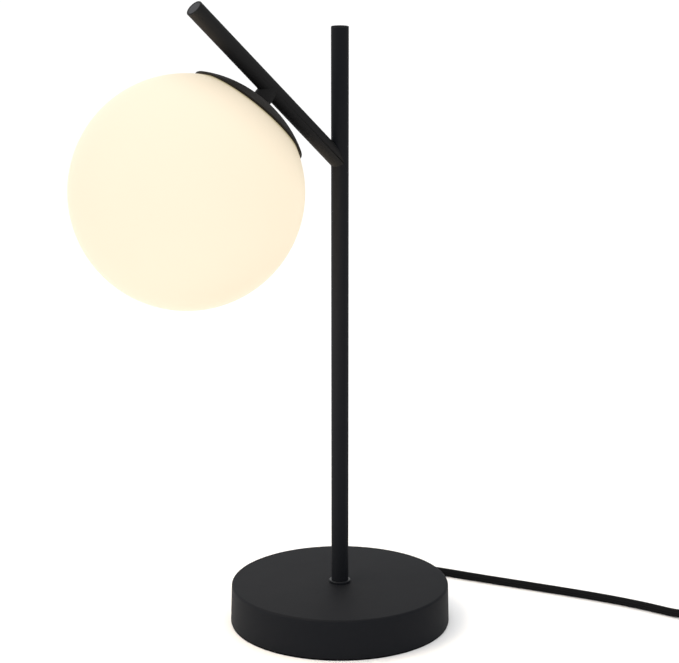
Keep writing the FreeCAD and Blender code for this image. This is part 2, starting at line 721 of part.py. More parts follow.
# ---- plug ---------------------------------------------------------------------------------------------
def plug_body():
    half = PLUG_WIDE / 2
    start = PLUG_RELIEF_LONG
    end = start + PLUG_BODY_LONG
    points = [Vector(start, -6, -7), Vector(start + 9, -half, -7), Vector(end, -half, -7),
              Vector(end, half, -7), Vector(start + 9, half, -7), Vector(start, 6, -7), Vector(start, -6, -7)]
    body = Part.Face(Part.makePolygon(points)).extrude(Vector(0, 0, PLUG_HIGH))
    upright = [e for e in body.Edges if abs(e.Vertexes[0].Z - e.Vertexes[1].Z) > PLUG_HIGH / 2]
    body = body.makeFillet(3.0, upright)
    rims = [e for e in body.Edges if abs(abs(e.BoundBox.ZMin) - PLUG_HIGH / 2) < 1e-6
            and abs(e.BoundBox.ZMax - e.BoundBox.ZMin) < 1e-6]
    body = body.makeFillet(2.0, rims)
    for side in (-1, 1):
        body = body.cut(plug_pin(side, end - PIN_ROOT_DEEP, end + 1, PIN_ROOT_RADIUS))
    return body


def plug_pin(side, start, end, radius):
    return Part.makeCylinder(radius, end - start, Vector(start, side * PIN_SPACING / 2, 0), Vector(1, 0, 0))


def plug_pins():
    end = PLUG_RELIEF_LONG + PLUG_BODY_LONG
    pins = []
    for side in (-1, 1):
        pin = plug_pin(side, end + PIN_ROOT_PROUD, end + PIN_LONG, PIN_RADIUS)
        tip = [e for e in pin.Edges if e.BoundBox.XMin > end + PIN_LONG - 1e-6]
        root = plug_pin(side, end - PIN_ROOT_DEEP, end + PIN_ROOT_PROUD + 1, PIN_ROOT_RADIUS)
        pins.append(pin.makeFillet(1.2, tip).fuse(root).removeSplitter())
    return pins


def plug_relief():
    return along_x(turned((0, 0), (3.4, 0), (4.8, PLUG_RELIEF_LONG - 4), (4.8, PLUG_RELIEF_LONG), (0, PLUG_RELIEF_LONG)))


# ---- coil and its tie ---------------------------------------------------------------------------------
def coil_place(degrees):
    """Radius and height of the coil's centre line at an angle along it, in from outside, up, and out again."""
    layer = COIL_TURNS_PER_LAYER * 360
    if degrees <= layer:
        return COIL_INNER + COIL_PITCH * (layer - degrees) / 360, COIL_LOW
    if degrees >= layer + 180:
        return COIL_INNER + COIL_PITCH * (degrees - layer - 180) / 360, COIL_LOW + COIL_LAYER
    part = (degrees - layer) / 180
    dip = COIL_DIP * math.sin(math.pi * part)
    return COIL_INNER - dip, COIL_LOW + COIL_LAYER * part ** 2 * (3 - 2 * part)


def coil_point(degrees):
    radius, height = coil_place(degrees)
    return Vector(COIL_CENTRE[0], COIL_CENTRE[1], height) + polar(radius, degrees)


def coil_tangent(degrees):
    small = 0.01
    layer = COIL_TURNS_PER_LAYER * 360
    total = 2 * layer + 180
    if degrees < small or degrees > total - small:
        return polar(1.0, degrees + 90)
    return (coil_point(degrees + small) - coil_point(degrees - small)).normalize()


def coil_path():
    total = 2 * COIL_TURNS_PER_LAYER * 360 + 180
    edges = []
    start = coil_point(0) - coil_tangent(0) * (2 * CORD_RADIUS)
    edges.append(Part.LineSegment(start, coil_point(0)).toShape())
    quarter = 0
    while quarter < total:
        after = quarter + 90
        edges += biarc(coil_point(quarter), coil_tangent(quarter), coil_point(after), coil_tangent(after))
        quarter = after
    end = coil_point(total) + coil_tangent(total) * (2 * CORD_RADIUS)
    edges.append(Part.LineSegment(coil_point(total), end).toShape())
    return Part.Wire(edges)


def least_gap(path):
    """The least clear distance between stretches of the coil that are over a third of a turn apart."""
    points = []
    for edge in path.OrderedEdges:
        count = max(2, int(edge.Length / 2.5))
        points += edge.discretize(count + 1)[:-1]
    apart = int(80.0 / 2.5)
    least = 1e9
    for i, a in enumerate(points):
        for b in points[i + apart:]:
            least = min(least, (a - b).Length)
    return least - 2 * CORD_RADIUS


def mains_cord_coil():
    path = coil_path()
    print(f"mains_cord_coil: least gap to itself {least_gap(path):.2f} mm")
    return pipe(path, CORD_RADIUS, "mains_cord_coil")


def coil_tie():
    """A strap round all turns at one place of the coil, lying flat on the table."""
    outer = COIL_INNER + COIL_PITCH * COIL_TURNS_PER_LAYER + CORD_RADIUS + 0.4
    inner = COIL_INNER - COIL_DIP - CORD_RADIUS - 0.4
    top = COIL_LOW + COIL_LAYER + CORD_RADIUS + 0.3
    low = COIL_LOW - CORD_RADIUS - 0.3
    band = box(inner - TIE_THICK, outer + TIE_THICK, -TIE_WIDE / 2, TIE_WIDE / 2, low - TIE_THICK, top + TIE_THICK)
    band = band.cut(box(inner, outer, -TIE_WIDE, TIE_WIDE, low, top))
    band.rotate(Vector(0, 0, 0), UP, TIE_ANGLE)
    band.translate(Vector(COIL_CENTRE[0], COIL_CENTRE[1], 0))
    return band


# ---- write every piece --------------------------------------------------------------------------------
def in_switch(shape):
    return on_table(shape, SWITCH_CENTRE, SWITCH_HEADING)


def in_plug(shape):
    return on_table(shape, PLUG_TIP, PLUG_HEADING, PLUG_AXIS)


def laid(shape):
    """Bakes a group or a placed solid into one compound in the lamp's frame."""
    return Part.makeCompound(shape if isinstance(shape, list) else [shape])


def main():
    os.makedirs("parts", exist_ok=True)
    plain = [base_cover, base_weight, base_plate, foot_pad, plate_screws, cord_grommet, inner_cord, cord_clamp,
             clamp_screws, terminal_block, terminal_screws, pole_collar, pole_tube, pole_bush, pole_stud,
             pole_washer, pole_nut, arm_tube, arm_knuckle, shade_cap, glass_globe, neck_gasket, knuckle_nipple,
             globe_gallery, gallery_clips, gallery_nut, holder_cup, holder_sleeve, holder_shell, holder_contact,
             bulb_tip, bulb_cap, bulb_body, bulb_globe, mains_cord_coil, coil_tie]
    for make in plain:
        export(make.__name__, laid(make()))
    export("pole_top_plug", end_plug(POLE_TOP))
    export("arm_end_plug", on_arm(end_plug(ARM_LONG)))
    export("live_lead", lead(1, "live_lead"))
    export("neutral_lead", lead(-1, "neutral_lead"))
    for make in (switch_base, switch_top, switch_rocker, rocker_pin, switch_contacts, switch_glands):
        shape = make()
        export(make.__name__, in_switch(laid(shape)))
    export("switch_screws", in_switch(laid([switch_screw(-SCREW_SIDE), switch_screw(SCREW_SIDE)])))
    for make in (plug_body, plug_pins, plug_relief):
        export(make.__name__, in_plug(laid(make())))
    for name, route in (("mains_cord", CORD_ROUTE), ("cord_link", LINK_ROUTE), ("cord_tail", TAIL_ROUTE)):
        export(name, pipe(rounded_path(route, name), CORD_RADIUS, name))


main()
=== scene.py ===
import json
import math

import bmesh
import bpy
from bpy.props import FloatProperty, FloatVectorProperty, IntProperty, PointerProperty
from mathutils import Matrix, Vector


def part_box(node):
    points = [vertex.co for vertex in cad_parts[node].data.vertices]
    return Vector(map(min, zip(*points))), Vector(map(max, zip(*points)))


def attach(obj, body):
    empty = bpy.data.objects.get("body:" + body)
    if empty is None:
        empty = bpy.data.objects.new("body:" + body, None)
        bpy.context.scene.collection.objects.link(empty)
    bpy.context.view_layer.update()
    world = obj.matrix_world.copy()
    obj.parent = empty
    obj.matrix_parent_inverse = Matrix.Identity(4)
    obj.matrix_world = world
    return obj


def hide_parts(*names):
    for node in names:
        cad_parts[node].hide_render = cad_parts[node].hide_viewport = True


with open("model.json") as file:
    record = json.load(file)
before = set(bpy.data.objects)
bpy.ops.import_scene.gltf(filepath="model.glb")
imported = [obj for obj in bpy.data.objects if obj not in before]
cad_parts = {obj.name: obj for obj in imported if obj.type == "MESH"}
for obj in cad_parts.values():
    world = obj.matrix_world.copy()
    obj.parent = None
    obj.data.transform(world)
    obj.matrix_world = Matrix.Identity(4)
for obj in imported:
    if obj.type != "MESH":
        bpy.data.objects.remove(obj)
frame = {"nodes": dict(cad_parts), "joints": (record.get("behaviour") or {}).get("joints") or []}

bl_info = {
    "name": "Glass globe table lamp",
    "version": (1, 0, 0),
    "blender": (4, 5, 0),
    "location": "3D View > Sidebar > Lamp",
    "description": "Dresses the lamp's frame with coated metal, lit opal glass, braided flex and fittings",
    "category": "Object",
}

MM = 0.001


def joint(name):
    return next(j for j in frame["joints"] if j["name"] == name)


def low(node):
    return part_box(node)[0] / MM


def high(node):
    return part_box(node)[1] / MM


# Places that the frame gives.
KNUCKLE = Vector(joint("globe_twist")["pos_m"])
DROP = Vector(joint("globe_twist")["axis"])
ARM_WAY = Vector((DROP.z, 0, -DROP.x))

# Sizes in millimetres that the frame gives.
BASE_RADIUS = high("base_cover").y
BASE_HEIGHT = high("base_cover").z
COVER_FOOT = low("base_cover").z
PAD_TOP = high("foot_pad").z
PAD_RADIUS = high("foot_pad").x
TUBE_RADIUS = high("pole_tube").x
POLE_FOOT = low("pole_tube").z
POLE_TOP = high("pole_tube").z
COLLAR_RADIUS = high("pole_collar").x

# Sizes in millimetres of the base and the grommet, whose start and end are measured from the pole's axis.
BASE_TOP_RADIUS = 79.68
COVER_WALL = 1.5
COVER_HEM = 0.3
COVER_FOOT_ROUND = 0.2
STUD_RADIUS = 4.0
PAD_ROUND = 0.3
EXIT_HEIGHT = 8.5
GROMMET_START = 71.0
GROMMET_END = 92.0
GROMMET_RADIUS = 5.0
GROMMET_TIP_RADIUS = 3.5
GROMMET_GROOVE = 4.2
GROMMET_CLEARANCE = 0.75
GROMMET_FLANGE = 1.5
GROMMET_FLANGE_ROUND = 0.4
FIRST_RIB = 2.2
RIB_COUNT = 4
RIB_DEPTH = 0.35
RIB_GAP = 0.7
RIB_START = 0.8
RIB_BACK = 0.2
RIB_ROUND = 0.15

# Sizes in millimetres of the pole and the arm.
ARM_START = 343.0
ARM_LONG = 162.0
TUBE_WALL = 1.0
TUBE_BORE_ROUND = 0.15
COLLAR_ROUND = 0.6
PLUG_THICK = 3.5
PLUG_SUNK = 0.2
PLUG_ROUND = 0.3

# Sizes in millimetres of the cap, the globe and the gasket, with their heights measured down from the arm.
GLOBE_DROP = 93.25
GLOBE_OUTER = 80.5
GLASS_WALL = 2.5
MOUTH_RADIUS = 24.0
MOUTH_FLAT = 20.5
MOUTH_ROUND = 1.0
NECK_END = 29.5
NECK_ROUND = 0.8
KNUCKLE_RADIUS = 6.8
CAP_OUTER = 82.6
CAP_CROWN = 81.3
CAP_WALL = 1.6
CAP_RIM_ROUND = 0.3
GASKET_INNER = 25.5
GASKET_OUTER = 31.0
GASKET_TOP = 19.3
GASKET_ROUND = 0.3
GASKET_GAP = 0.3

# The cap's half angle at its rim, and the last step before it, in degrees from the drop axis.
CAP_HALF_ANGLE = 34.1
CAP_RIM_STEP = 0.15

# Sizes in millimetres of the flex, its coil and the plug at its end, and the plug's heading in degrees.
CORD_RADIUS = 3.0
BRAID_CROSSING = 2.6
COIL_CENTRE = (332.5, -138.5)
COIL_INNER = 27.5
COIL_PITCH = 6.7
COIL_TURNS_PER_LAYER = 2.25
COIL_LOW = 4.2
COIL_LAYER = 6.6
COIL_DIP = 1.9
COIL_POINTS_PER_TURN = 16
PLUG_TIP = (365.0, -80.0)
PLUG_HEADING = 110.0
PLUG_AXIS = 7.0
PLUG_LONG = 54.0
PIN_RADIUS = 2.0
PIN_LONG = 19.0
PIN_SPACING = 18.6
PIN_ROOT = 8.0
PIN_TIP_ROUND = 1.2
SLEEVE_DEPTH = 0.1
SLEEVE_START = 0.2
SLEEVE_END = 10.0
SLEEVE_STEP = 0.05

# Lengths of the flex in metres.
FLEX_TO_SWITCH = 0.423
FLEX_TO_PLUG = 1.262

# Faces round the smaller turned pieces, and steps along the arcs of the cap and the globe.
RING_STEPS = 96
TUBE_STEPS = 64
GROMMET_STEPS = 48
PIN_STEPS = 32
CAP_ARC_STEPS = 40
GLOBE_ARC_STEPS = 72
SEAT_ARC_STEPS = 4

# The flex's free stretches, as corners of the route in millimetres.
CORD_ROUTE = [
    (0.0, 92.0, 8.5), (0.0, 104.0, 8.5), (5.8, 120.0, 6.6), (19.0, 131.0, 4.4), (35.8, 133.9, 3.3),
    (52.4, 128.8, 3.0), (71.0, 108.5, 3.0), (87.5, 82.5, 3.0), (101.0, 62.0, 3.0), (117.0, 40.5, 3.0),
    (131.0, 17.5, 3.0), (144.0, -2.4, 3.0), (166.6, -36.6, 3.0), (188.2, -70.6, 3.0), (204.8, -101.6, 3.0),
    (217.4, -133.6, 3.0), (231.004, -146.474, 7.3), (242.472, -154.504, 7.3)]
LINK_ROUTE = [
    (304.728, -198.096, 7.3), (316.196, -206.126, 7.3), (334.0, -211.1, 5.4), (353.1, -207.1, 3.8),
    (367.1, -194.9, 3.6), (373.5, -177.0, 3.9), (375.075, -159.5, 4.2)]
TAIL_ROUTE = [
    (375.075, -117.5, 10.8), (373.8, -104.5, 8.6), (369.788, -93.156, 7.0), (365.0, -80.0, 7.0)]


# ---- settings -----------------------------------------------------------------------------------------
def colour(name, words, value):
    return FloatVectorProperty(name=name, description=words, subtype="COLOR", size=3, min=0, max=1,
                               default=value)


def length(name, words, value):
    return FloatProperty(name=name, description=words, unit="LENGTH", min=0, default=value)


class LampFinish(bpy.types.PropertyGroup):
    coat: colour("Coat", "Powder coat on the base, the collar and the pole", (0.0046, 0.0053, 0.0072))
    # Painted light: the cap's coat is warmed in its colour to stand for the globe's light falling on it.
    coat_with_painted_glow: colour("Coat by the globe", "The same coat on the cap, warmed by the globe's light",
                          (0.0078, 0.0062, 0.0046))
    # Painted light: the arm's and the knuckle's coat is made about twice as light, to stand for the globe's
    # light on them.
    coat_with_painted_arm_light: colour("Coat on the arm", "The same coat on the arm and the knuckle, above the globe",
                        (0.0100, 0.0099, 0.0100))
    flex: colour("Flex", "Braid over the flex", (0.0045, 0.0045, 0.0048))
    glass: colour("Glass", "Opal glass by daylight", (0.45, 0.39, 0.38))
    glow: colour("Glow", "Light that comes through the opal glass", (0.98, 0.86, 0.48))
    glow_strength: FloatProperty(name="Glow strength", description="How strongly the globe is lit", min=0,
                                 default=0.50)
    bulb_power: FloatProperty(name="Bulb power", description="Light on the globe's neighbours",
                              unit="POWER", min=0, default=2.5)
    bulb_tint: colour("Bulb tint", "Colour of that light", (1.0, 0.80, 0.58))


class LampShape(bpy.types.PropertyGroup):
    top_round: length("Top round", "Radius of the base's upper edge", 1.8 * MM)
    tube_edge: length("Tube edge", "Softening of the cut ends of the tubes", 0.4 * MM)
    lathe_steps: IntProperty(name="Lathe steps", description="Faces round the larger turned pieces",
                             min=24, default=128)


class LampStage(bpy.types.PropertyGroup):
    distance: length("Distance", "Camera to the pole, level", 1.590)
    eye_height: length("Eye height", "Camera above the table", 0.6185)
    azimuth: FloatProperty(name="Azimuth", description="Turn of the view about the pole", subtype="ANGLE",
                           default=math.radians(-31.7))
    pitch: FloatProperty(name="Pitch", description="How far the camera looks down", subtype="ANGLE",
                         default=math.radians(14.07))
    lens: FloatProperty(name="Lens", description="Focal length in mm on a 36 mm wide sensor", min=10,
                        default=121.15)
    floor: colour("Floor", "Pale floor", (0.93, 0.93, 0.93))


# ---- mesh helpers -------------------------------------------------------------------------------------
def settings():
    return bpy.context.scene.lamp_shape


def finish():
    return bpy.context.scene.lamp_finish


def along(origin, way):
    """The matrix that puts a piece modelled along Z on an axis."""
    turn = Vector((0, 0, 1)).rotation_difference(way).to_matrix().to_4x4()
    return Matrix.Translation(origin) @ turn


def on_arm():
    return along(Vector((0, 0, ARM_START * MM)), ARM_WAY)


def on_drop():
    return along(KNUCKLE, DROP)


def rounded(corners, closed=True, steps=4):
    """Corners (r, z) or (r, z, round) of an outline, with an arc of that radius at each rounded one."""
    points = []
    count = len(corners)
    for i, corner in enumerate(corners):
        here = Vector(corner[:2])
        radius = corner[2] if len(corner) > 2 else 0
        if not radius or (not closed and i in (0, count - 1)):
            points.append(here)
            continue
        back = (Vector(corners[i - 1][:2]) - here).normalized()
        on = (Vector(corners[(i + 1) % count][:2]) - here).normalized()
        half = back.angle(on) / 2
        reach = radius / math.tan(half)
        centre = here + (back + on).normalized() * (radius / math.sin(half))
        first = here + back * reach - centre
        last = here + on * reach - centre
        sweep = first.angle_signed(last)
        for k in range(steps + 1):
            points.append(centre + Matrix.Rotation(-sweep * k / steps, 2) @ first)
    return points


def sphere_point(radius, degrees):
    """A point (distance from the drop axis, distance below the arm) of a sphere about the globe's centre."""
    angle = math.radians(degrees)
    return radius * math.sin(angle), GLOBE_DROP - radius * math.cos(angle)


def sphere_arc(radius, start, end, steps):
    """Points of such a sphere from one angle to another, in degrees from the drop axis."""
    return [sphere_point(radius, start + (end - start) * k / steps) for k in range(steps + 1)]


def as_piece(shape, name, body, material, nodes, place=None, smooth=35.0):
    """Turns a bmesh into a finished piece that takes the place of nodes of the frame and rides on a body."""
    if place is not None:
        bmesh.ops.transform(shape, matrix=place, verts=shape.verts)
    mesh = bpy.data.meshes.new(name)
    shape.to_mesh(mesh)
    shape.free()
    mesh.shade_smooth()
    mesh.set_sharp_from_angle(angle=math.radians(smooth))
    mesh.materials.append(material)
    piece = bpy.data.objects.new(name, mesh)
    bpy.context.scene.collection.objects.link(piece)
    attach(piece, body)
    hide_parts(*nodes)
    return piece


def turned(outline, closed=True, steps=None):
    """A bmesh of the outline (r, z in mm) spun once round Z, with outward faces."""
    shape = bmesh.new()
    verts = [shape.verts.new((p[0] * MM, 0, p[1] * MM)) for p in outline]
    edges = [shape.edges.new(pair) for pair in zip(verts, verts[1:])]
    if closed:
        edges.append(shape.edges.new((verts[-1], verts[0])))
    bmesh.ops.spin(shape, geom=verts + edges, cent=(0, 0, 0), axis=(0, 0, 1), angle=math.tau,
                   steps=steps or settings().lathe_steps, use_merge=True)
    bmesh.ops.remove_doubles(shape, verts=shape.verts, dist=1e-6)
    bmesh.ops.recalc_face_normals(shape, faces=shape.faces)
    return shape


def from_frame(node, softened):
    """A merged bmesh copy of a node of the frame, with its crisp edges softened by that many mm."""
    crisp_angle = math.radians(30)
    shape = bmesh.new()
    shape.from_mesh(frame["nodes"][node].data)
    bmesh.ops.remove_doubles(shape, verts=shape.verts, dist=1e-6)
    bmesh.ops.dissolve_limit(shape, angle_limit=math.radians(1), verts=shape.verts, edges=shape.edges)
    if softened:
        crisp = [edge for edge in shape.edges if edge.is_manifold and edge.calc_face_angle() > crisp_angle]
        bmesh.ops.bevel(shape, geom=crisp, offset=softened * MM, offset_type="OFFSET", segments=2,
                        profile=0.5, affect="EDGES", clamp_overlap=True, material=-1)
    return shape


def dress(node, body, material, softened=0.0):
    """Puts a copy of a node of the frame in its place, softened by that many mm, in a better material."""
    as_piece(from_frame(node, softened), node + "_skin", body, material, nodes=[node])


# ---- material helpers ---------------------------------------------------------------------------------
def link(tree, source, target):
    tree.links.new(source, target)


def add(tree, kind, values=None, **facts):
    node = tree.nodes.new(kind)
    for name, value in facts.items():
        setattr(node, name, value)
    for name, value in (values or {}).items():
        if hasattr(value, "node"):
            tree.links.new(value, node.inputs[name])
        else:
            node.inputs[name].default_value = value
    return node


def maths(tree, operation, a, b=0.0):
    return add(tree, "ShaderNodeMath", {0: a, 1: b}, operation=operation).outputs[0]


def group(name, inputs, outputs):
    """An empty shader group with float and colour sockets, and its inner ends."""
    tree = bpy.data.node_groups.new(name, "ShaderNodeTree")
    kinds = {"f": "NodeSocketFloat", "c": "NodeSocketColor"}
    for label, kind, value in inputs:
        socket = tree.interface.new_socket(label, in_out="INPUT", socket_type=kinds[kind])
        socket.default_value = value
    for label, kind in outputs:
        tree.interface.new_socket(label, in_out="OUTPUT", socket_type=kinds[kind])
    return tree, tree.nodes.new("NodeGroupInput"), tree.nodes.new("NodeGroupOutput")


def grain_group():
    """Fine pebbling of a coat or moulding, with slow drifts of shade and roughness."""
    tree, inner, out = group("Surface grain", [
        ("Colour", "c", (0.5, 0.5, 0.5, 1)), ("Grain per metre", "f", 2500.0), ("Drift per metre", "f", 25.0),
        ("Shade drift", "f", 0.1), ("Roughness", "f", 0.5), ("Roughness drift", "f", 0.05)],
        [("Colour", "c"), ("Roughness", "f"), ("Height", "f")])
    spot = add(tree, "ShaderNodeTexCoord").outputs["Object"]
    grain = add(tree, "ShaderNodeTexNoise", {"Vector": spot, "Scale": inner.outputs["Grain per metre"],
                                              "Detail": 3.0, "Roughness": 0.55})
    drift = add(tree, "ShaderNodeTexNoise", {"Vector": spot, "Scale": inner.outputs["Drift per metre"],
                                              "Detail": 4.0, "Roughness": 0.6})
    centred = maths(tree, "SUBTRACT", drift.outputs["Fac"], 0.5)
    shade = maths(tree, "ADD", maths(tree, "MULTIPLY", centred, inner.outputs["Shade drift"]), 1.0)
    fleck = maths(tree, "ADD", maths(tree, "MULTIPLY", maths(tree, "SUBTRACT", grain.outputs["Fac"], 0.5),
                                    inner.outputs["Shade drift"]), shade)
    tinted = add(tree, "ShaderNodeVectorMath", {0: inner.outputs["Colour"]}, operation="SCALE")
    link(tree, fleck, tinted.inputs["Scale"])
    rough = maths(tree, "ADD", maths(tree, "MULTIPLY", centred, inner.outputs["Roughness drift"]),
                  inner.outputs["Roughness"])
    link(tree, tinted.outputs[0], out.inputs["Colour"])
    link(tree, rough, out.inputs["Roughness"])
    link(tree, grain.outputs["Fac"], out.inputs["Height"])
    return tree


def braid_group():
    """Two sets of strands that wind round a flex and cross, from its own UV map, with painted shade in the
    grooves between them.
    """
    tree, inner, out = group("Braid", [
        ("Crossings along", "f", 200.0), ("Strands round", "f", 12.0),
        ("Colour", "c", (0.02, 0.02, 0.02, 1))],
        [("Colour", "c"), ("Height", "f")])
    uv = add(tree, "ShaderNodeSeparateXYZ", {"Vector": add(tree, "ShaderNodeTexCoord").outputs["UV"]})
    wide = maths(tree, "MULTIPLY", uv.outputs["X"], inner.outputs["Crossings along"])
    around = maths(tree, "MULTIPLY", uv.outputs["Y"], inner.outputs["Strands round"])

    def strands(way):
        phase = maths(tree, "MULTIPLY", maths(tree, way, wide, around), math.pi)
        return maths(tree, "ABSOLUTE", maths(tree, "SINE", phase))

    right = strands("ADD")
    left = strands("SUBTRACT")
    swap = maths(tree, "GREATER_THAN", maths(tree, "SINE", maths(tree, "MULTIPLY", wide, math.tau)), 0.0)
    height = add(tree, "ShaderNodeMix", {0: swap, 2: right, 3: left}, data_type="FLOAT").outputs[0]
    # Painted shade: the colour darkens where the braid's relief is low, in the grooves between the strands.
    shade = maths(tree, "ADD", maths(tree, "MULTIPLY", height, 1.3), 0.45)
    tinted = add(tree, "ShaderNodeVectorMath", {0: inner.outputs["Colour"]}, operation="SCALE")
    link(tree, shade, tinted.inputs["Scale"])
    link(tree, tinted.outputs[0], out.inputs["Colour"])
    link(tree, height, out.inputs["Height"])
    return tree


SHARED = {}


def shared(name, make):
    if name not in SHARED:
        SHARED[name] = make()
    return SHARED[name]


def new_material(name):
    material = bpy.data.materials.new(name)
    material.use_nodes = True
    tree = material.node_tree
    return material, tree, tree.nodes["Principled BSDF"]


def grained(name, tint, grain, rough, drift=25.0, shade=0.1, rough_drift=0.08, bump=0.1, depth=0.02,
            metal=0.0, specular=0.5):
    """A material whose colour, roughness and relief, that many mm deep, come from the surface grain group."""
    if name in SHARED:
        return SHARED[name]
    material, tree, surface = new_material(name)
    effect = add(tree, "ShaderNodeGroup", {
        "Colour": (*tint, 1), "Grain per metre": grain, "Drift per metre": drift, "Shade drift": shade,
        "Roughness": rough, "Roughness drift": rough_drift}, node_tree=shared("Surface grain", grain_group))
    relief = add(tree, "ShaderNodeBump", {"Strength": bump, "Distance": depth * MM,
                                          "Height": effect.outputs["Height"]})
    link(tree, effect.outputs["Colour"], surface.inputs["Base Color"])
    link(tree, effect.outputs["Roughness"], surface.inputs["Roughness"])
    link(tree, relief.outputs["Normal"], surface.inputs["Normal"])
    surface.inputs["Metallic"].default_value = metal
    surface.inputs["Specular IOR Level"].default_value = specular
    SHARED[name] = material
    return material


def powder_coat(name, tint):
    """The lamp's matt black coat, in a tint given for one place; the tints for the cap and the arm carry
    painted light from the globe.
    """
    return grained(name, tint, grain=2200, drift=18, shade=0.22, rough=0.66, rough_drift=0.10, bump=0.35,
                   depth=0.05, specular=0.10)


def moulded_black():
    return grained("Black moulding", (0.011, 0.011, 0.012), grain=3500, shade=0.15, rough=0.5, bump=0.25,
                   depth=0.03, specular=0.25)


def soft_rubber():
    return grained("Black rubber", (0.011, 0.011, 0.011), grain=1800, shade=0.2, rough=0.7, bump=0.2,
                   depth=0.03, specular=0.25)


def zinc_plate():
    return grained("Zinc plate", (0.55, 0.56, 0.58), grain=900, drift=60, shade=0.18, rough=0.32,
                   rough_drift=0.2, bump=0.1, depth=0.01, metal=1.0)


def brass_strip():
    return grained("Drawn brass", (0.62, 0.43, 0.17), grain=1200, drift=80, shade=0.2, rough=0.28,
                   rough_drift=0.2, bump=0.1, depth=0.01, metal=1.0)


def nickel_plate():
    return grained("Nickel plate", (0.66, 0.64, 0.60), grain=1500, drift=70, shade=0.12, rough=0.22,
                   rough_drift=0.15, bump=0.06, depth=0.01, metal=1.0)


def opal_glass():
    """Satin opal glass, lit from inside, with painted shade that dims it near the cap, where the holder is in
    the way, and painted light that lifts it towards the top.
    """
    shade_start = math.radians(68)
    shade_full = math.radians(CAP_HALF_ANGLE)
    shade_rise = 2.5
    shade_depth = 0.26
    inside_depth = 60.0
    cloudiness = 0.03
    material, tree, surface = new_material("Lit opal glass")
    centre = KNUCKLE + DROP * GLOBE_DROP * MM
    spot = add(tree, "ShaderNodeTexCoord").outputs["Object"]
    away = add(tree, "ShaderNodeVectorMath", {0: spot, 1: centre}, operation="DISTANCE").outputs["Value"]
    cloud = add(tree, "ShaderNodeTexNoise", {"Vector": spot, "Scale": 9.0, "Detail": 2.0})
    height = add(tree, "ShaderNodeSeparateXYZ", {"Vector": spot}).outputs["Z"]
    # Painted light: the glass is made a little lighter towards the top and darker towards the bottom.
    painted_top_lift = add(tree, "ShaderNodeMapRange", {
        "Value": height, "From Min": centre.z - GLOBE_OUTER * MM, "From Max": centre.z + GLOBE_OUTER * MM,
        "To Min": 0.98, "To Max": 1.02}).outputs[0]
    wall = add(tree, "ShaderNodeMapRange", {
        "Value": away, "From Min": (GLOBE_OUTER - inside_depth) * MM, "From Max": GLOBE_OUTER * MM,
        "To Min": 0.8, "To Max": 1.0}).outputs[0]
    centred = maths(tree, "SUBTRACT", cloud.outputs["Fac"], 0.5)
    even = maths(tree, "ADD", maths(tree, "MULTIPLY", centred, cloudiness), painted_top_lift)
    ray = add(tree, "ShaderNodeVectorMath", {0: spot, 1: centre}, operation="SUBTRACT").outputs[0]
    up = add(tree, "ShaderNodeVectorMath", {0: ray, 1: -DROP}, operation="DOT_PRODUCT").outputs["Value"]
    # Painted shade: the glass is dimmed towards the cap's rim, where the holder keeps the bulb's light off
    # it.
    painted_cap_shade_mask = add(tree, "ShaderNodeMapRange", {
        "Value": maths(tree, "DIVIDE", up, away), "From Min": math.cos(shade_start),
        "From Max": math.cos(shade_full)}).outputs[0]
    shade = maths(tree, "MULTIPLY", maths(tree, "POWER", painted_cap_shade_mask, shade_rise), shade_depth)
    # soft carries the glass's random cloudiness together with its painted top light and its painted shade
    # near the cap.
    soft = maths(tree, "MULTIPLY", even, maths(tree, "SUBTRACT", 1.0, shade))
    scale = maths(tree, "MULTIPLY", soft, wall)
    glow = add(tree, "ShaderNodeVectorMath", {0: finish().glow}, operation="SCALE")
    link(tree, scale, glow.inputs["Scale"])
    link(tree, glow.outputs[0], surface.inputs["Emission Color"])
    surface.inputs["Emission Strength"].default_value = finish().glow_strength
    tint = add(tree, "ShaderNodeVectorMath", {0: finish().glass}, operation="SCALE")
    link(tree, soft, tint.inputs["Scale"])
    link(tree, tint.outputs[0], surface.inputs["Base Color"])
    rough = add(tree, "ShaderNodeMapRange", {"Value": cloud.outputs["Fac"], "To Min": 0.30, "To Max": 0.42})
    link(tree, rough.outputs[0], surface.inputs["Roughness"])
    surface.inputs["Specular IOR Level"].default_value = 0.02
    return material


def cloudy_roughness(tree, surface, scale, low_end, high_end):
    """Lets the roughness of a plain material wander between two values."""
    cloud = add(tree, "ShaderNodeTexNoise", {
        "Vector": add(tree, "ShaderNodeTexCoord").outputs["Object"], "Scale": scale})
    rough = add(tree, "ShaderNodeMapRange", {
        "Value": cloud.outputs["Fac"], "To Min": low_end, "To Max": high_end})
    link(tree, rough.outputs[0], surface.inputs["Roughness"])


def lit_bulb():
    """The bulb's own opal envelope, lit."""
    material, tree, surface = new_material("Lit bulb")
    cloudy_roughness(tree, surface, 60.0, 0.35, 0.5)
    surface.inputs["Base Color"].default_value = (0.82, 0.80, 0.74, 1)
    surface.inputs["Emission Color"].default_value = (*finish().glow, 1)
    surface.inputs["Emission Strength"].default_value = 1.2
    return material


def pale_floor():
    """The plain floor that the lamp stands on."""
    material, tree, surface = new_material("Pale floor")
    cloudy_roughness(tree, surface, 3.0, 0.8, 0.9)
    surface.inputs["Base Color"].default_value = (*bpy.context.scene.lamp_stage.floor, 1)
    surface.inputs["Specular IOR Level"].default_value = 0.1
    return material


